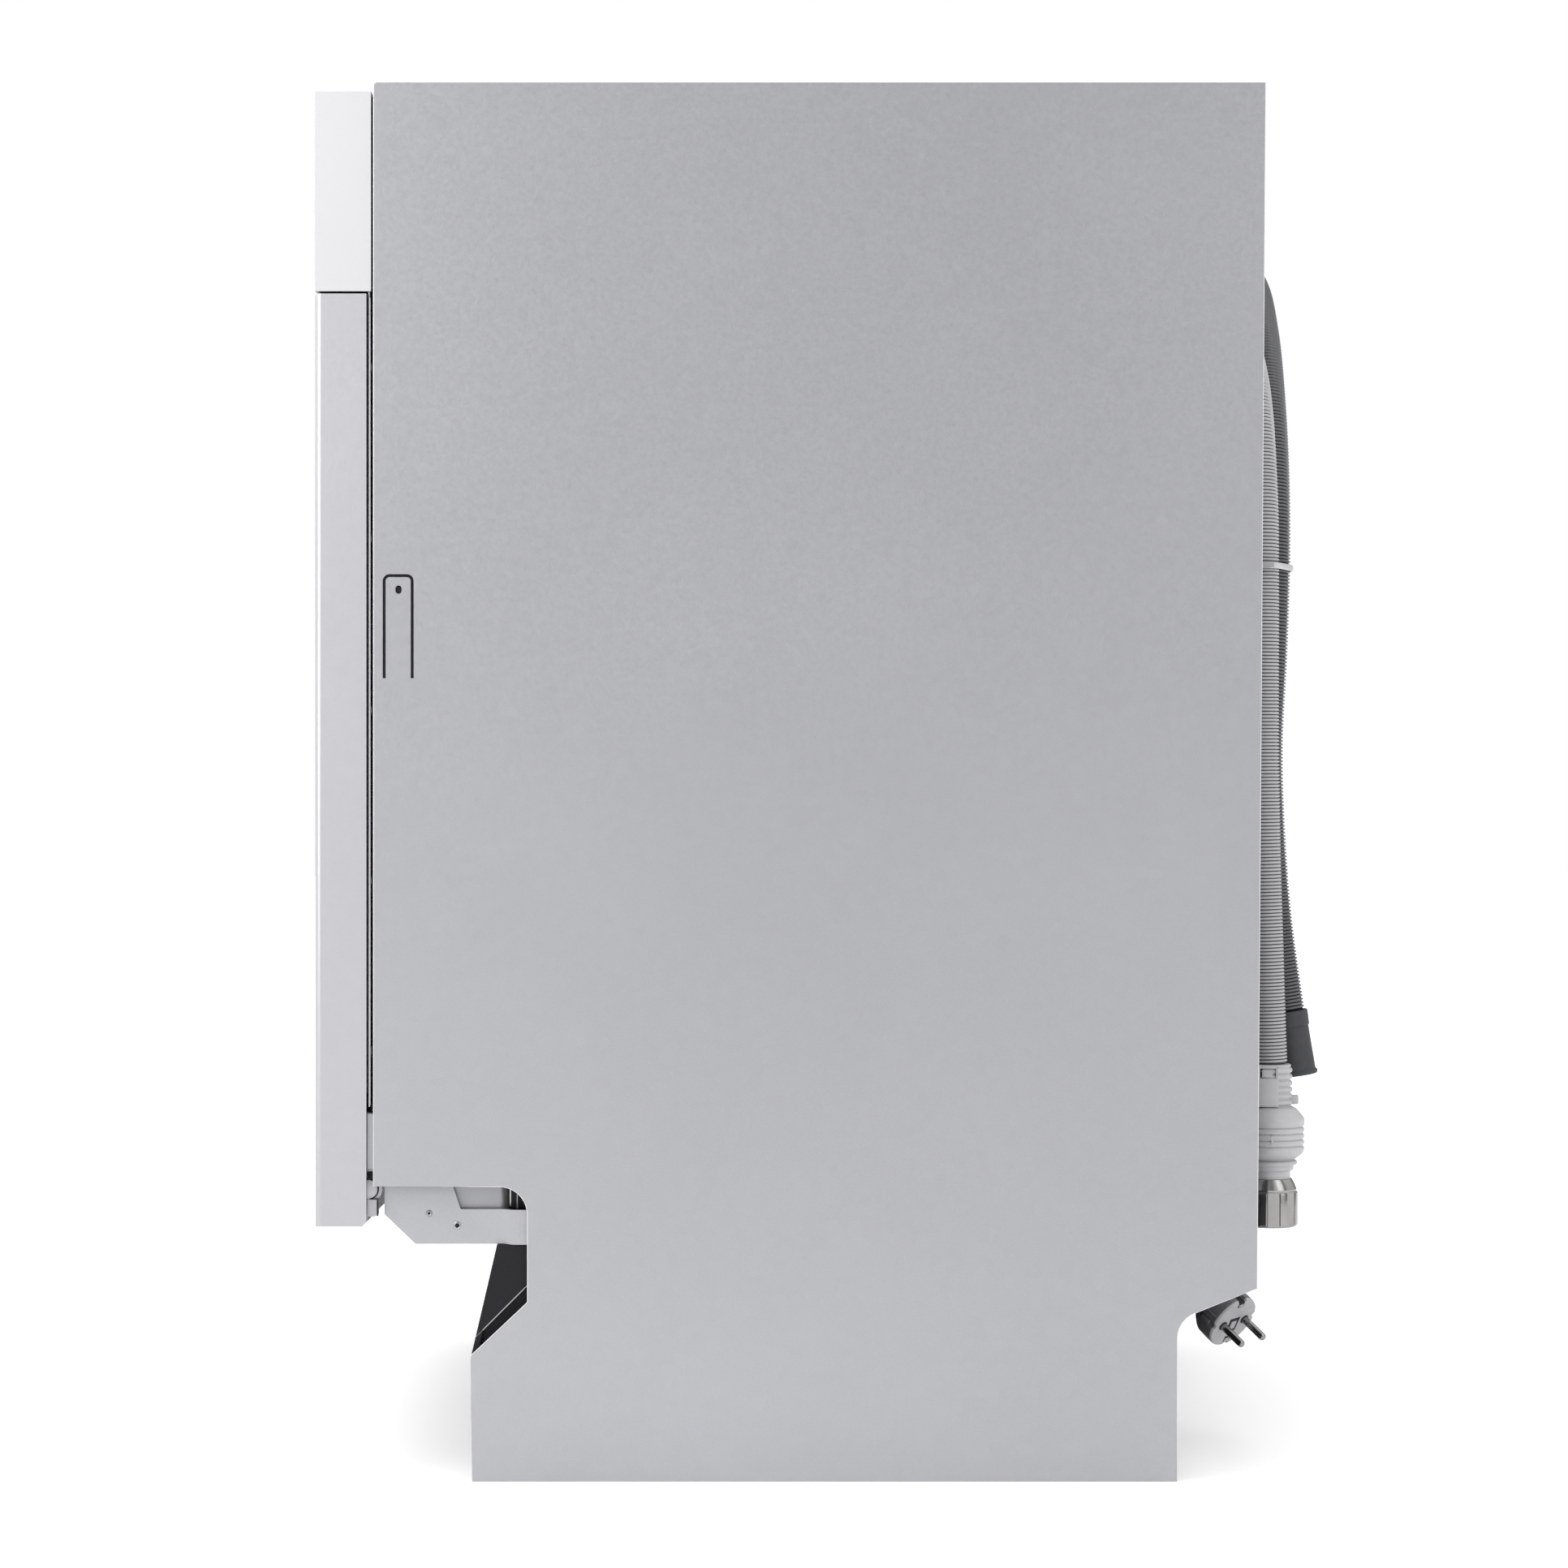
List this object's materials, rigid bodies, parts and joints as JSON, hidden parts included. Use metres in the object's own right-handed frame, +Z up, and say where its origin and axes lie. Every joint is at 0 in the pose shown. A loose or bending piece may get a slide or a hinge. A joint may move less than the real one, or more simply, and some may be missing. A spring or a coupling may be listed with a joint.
{
  "type": "built-in dishwasher",
  "caption": "Semi-integrated under-counter dishwasher with a drop-down steel door, a light control panel, wire baskets, spray arms and rear hoses.",
  "frame": {"origin": "on the floor, midway between the side panels and between the door's front and the cabinet's rear edge", "axes": "+Z up, -Y out of the door, +X to the right as seen from the door"},
  "size_m": [0.598, 0.5958, 0.815],
  "materials": {
    "galvanised_sheet": "satin",
    "tub_steel": "brushed",
    "door_steel": "satin",
    "panel_plastic": "satin",
    "black_plastic": "matte",
    "grey_plastic": "satin",
    "dark_grey_plastic": "matte",
    "light_plastic": "satin",
    "blue_plastic": "satin",
    "coated_wire": "satin",
    "seal_rubber": "matte",
    "spring_steel": "bright",
    "bright_nickel": "bright",
    "hose_light": "satin",
    "hose_dark": "satin",
    "cuff_rubber": "matte",
    "lead_grey": "matte",
    "plug_grey": "satin"
  },
  "bodies": {
    "cabinet": {"side_panel_left": "galvanised_sheet", "side_panel_right": "galvanised_sheet", "rear_panel": "galvanised_sheet", "crossbars": "galvanised_sheet", "tub_wrap": "tub_steel", "tub_rear_wall": "tub_steel", "tub_floor": "tub_steel", "tub_frame": "tub_steel", "door_gasket": "seal_rubber", "base_pan": "black_plastic", "kick_plate": "dark_grey_plastic", "hinge_brackets": "galvanised_sheet", "hinge_pins": "spring_steel", "balance_springs": "spring_steel", "latch_striker": "tub_steel", "upper_rails": "tub_steel", "feed_pipe": "grey_plastic", "sump": "dark_grey_plastic", "wash_pump": "dark_grey_plastic", "drain_pump": "dark_grey_plastic", "softener": "light_plastic", "filter_plate": "tub_steel", "air_break": "light_plastic", "hose_hooks": "light_plastic", "fasteners": "spring_steel", "inlet_hose": "hose_light", "aquastop_valve": "light_plastic", "inlet_nut": "bright_nickel", "drain_hose": "hose_dark", "drain_cuff": "cuff_rubber", "power_cord": "lead_grey", "power_plug": "plug_grey"},
    "door": {"door_panel": "door_steel", "door_liner": "tub_steel", "control_panel": "panel_plastic", "control_box": "dark_grey_plastic", "hinge_arms": "galvanised_sheet", "dispenser_body": "grey_plastic"},
    "latch": {"door_latch": "light_plastic"},
    "dispenser_lid": {"dispenser_lid": "grey_plastic"},
    "rinse_cap": {"rinse_cap": "blue_plastic"},
    "power_button": {"power_button": "panel_plastic"},
    "program_button": {"program_button": "panel_plastic"},
    "start_button": {"start_button": "panel_plastic"},
    "lower_basket": {"lower_basket": "coated_wire", "cutlery_basket": "grey_plastic"},
    "front_wheels": {"lower_front_wheels": "grey_plastic"},
    "rear_wheels": {"lower_rear_wheels": "grey_plastic"},
    "upper_basket": {"upper_basket": "coated_wire", "upper_feed_duct": "grey_plastic"},
    "cup_shelf": {"cup_shelf": "coated_wire"},
    "upper_arm": {"upper_spray_arm": "grey_plastic"},
    "lower_arm": {"lower_spray_arm": "grey_plastic"},
    "impeller": {"wash_impeller": "light_plastic"},
    "salt_cap": {"salt_cap": "blue_plastic"},
    "filter_cup": {"filter_cup": "grey_plastic"},
    "float": {"flood_float": "light_plastic"},
    "foot_front_left": {"foot_front_left": "dark_grey_plastic"},
    "foot_front_right": {"foot_front_right": "dark_grey_plastic"},
    "foot_rear": {"foot_rear": "dark_grey_plastic"}
  },
  "joints": [
    {"name": "door_hinge", "type": "hinge", "parent": "cabinet", "child": "door", "pos_m": [0, -0.246, 0.17], "axis": [1, 0, 0], "range_deg": [0, 90], "stiffness_Nm_per_rad": 12, "deforming": ["balance_springs"]},
    {"name": "latch_lever", "type": "hinge", "parent": "door", "child": "latch", "pos_m": [0, -0.259, 0.77], "axis": [1, 0, 0], "range_deg": [0, 10], "stiffness_Nm_per_rad": 0.5},
    {"name": "dispenser_lid_slide", "type": "slide", "parent": "door", "child": "dispenser_lid", "axis": [-1, 0, 0], "range_m": [0, 0.07]},
    {"name": "rinse_cap_turn", "type": "hinge", "parent": "door", "child": "rinse_cap", "pos_m": [0.038, -0.2246, 0.515], "axis": [0, 1, 0], "range_deg": [0, 90]},
    {"name": "power_press", "type": "slide", "parent": "door", "child": "power_button", "axis": [0, 1, 0], "range_m": [0, 0.0015], "stiffness_N_per_m": 900},
    {"name": "program_press", "type": "slide", "parent": "door", "child": "program_button", "axis": [0, 1, 0], "range_m": [0, 0.0015], "stiffness_N_per_m": 900},
    {"name": "start_press", "type": "slide", "parent": "door", "child": "start_button", "axis": [0, 1, 0], "range_m": [0, 0.0015], "stiffness_N_per_m": 900},
    {"name": "lower_basket_slide", "type": "slide", "parent": "cabinet", "child": "lower_basket", "axis": [0, -1, 0], "range_m": [0, 0.112]},
    {"name": "upper_basket_slide", "type": "slide", "parent": "cabinet", "child": "upper_basket", "axis": [0, -1, 0], "range_m": [0, 0.379]},
    {"name": "front_wheels_roll", "type": "hinge", "parent": "lower_basket", "child": "front_wheels", "pos_m": [0, -0.15, 0.205], "axis": [1, 0, 0], "range_deg": [0, 430.6]},
    {"name": "rear_wheels_roll", "type": "hinge", "parent": "lower_basket", "child": "rear_wheels", "pos_m": [0, 0.15, 0.205], "axis": [1, 0, 0], "range_deg": [0, 430.6]},
    {"name": "cup_shelf_fold", "type": "hinge", "parent": "upper_basket", "child": "cup_shelf", "pos_m": [-0.245, 0, 0.572], "axis": [0, -1, 0], "range_deg": [0, 80]},
    {"name": "upper_arm_spin", "type": "hinge", "parent": "upper_basket", "child": "upper_arm", "pos_m": [0, 0, 0.464], "axis": [0, 0, 1], "continuous": true},
    {"name": "lower_arm_spin", "type": "hinge", "parent": "cabinet", "child": "lower_arm", "pos_m": [0, 0, 0.202], "axis": [0, 0, 1], "continuous": true},
    {"name": "impeller_spin", "type": "hinge", "parent": "cabinet", "child": "impeller", "pos_m": [0.113, 0.07, 0.074], "axis": [1, 0, 0], "continuous": true},
    {"name": "salt_cap_turn", "type": "hinge", "parent": "cabinet", "child": "salt_cap", "pos_m": [-0.17, -0.06, 0.183], "axis": [0, 0, 1], "range_deg": [0, 180]},
    {"name": "filter_cup_turn", "type": "hinge", "parent": "cabinet", "child": "filter_cup", "pos_m": [0, -0.058, 0.14], "axis": [0, 0, 1], "range_deg": [0, 60]},
    {"name": "float_rise", "type": "slide", "parent": "cabinet", "child": "float", "axis": [0, 0, 1], "range_m": [0, 0.012]},
    {"name": "foot_front_left_screw", "type": "slide", "parent": "cabinet", "child": "foot_front_left", "axis": [0, 0, -1], "range_m": [0, 0.05]},
    {"name": "foot_front_right_screw", "type": "slide", "parent": "cabinet", "child": "foot_front_right", "axis": [0, 0, -1], "range_m": [0, 0.05]},
    {"name": "foot_rear_screw", "type": "slide", "parent": "cabinet", "child": "foot_rear", "axis": [0, 0, -1], "range_m": [0, 0.05]}
  ],
  "couplings": [
    {"joint": "lower_basket_slide", "follows": "door_hinge", "m_per_rad": 0.07},
    {"joint": "upper_basket_slide", "follows": "door_hinge", "m_per_rad": 0.24},
    {"joint": "front_wheels_roll", "follows": "door_hinge", "ratio": 4.7619},
    {"joint": "rear_wheels_roll", "follows": "door_hinge", "ratio": 4.7619}
  ]
}
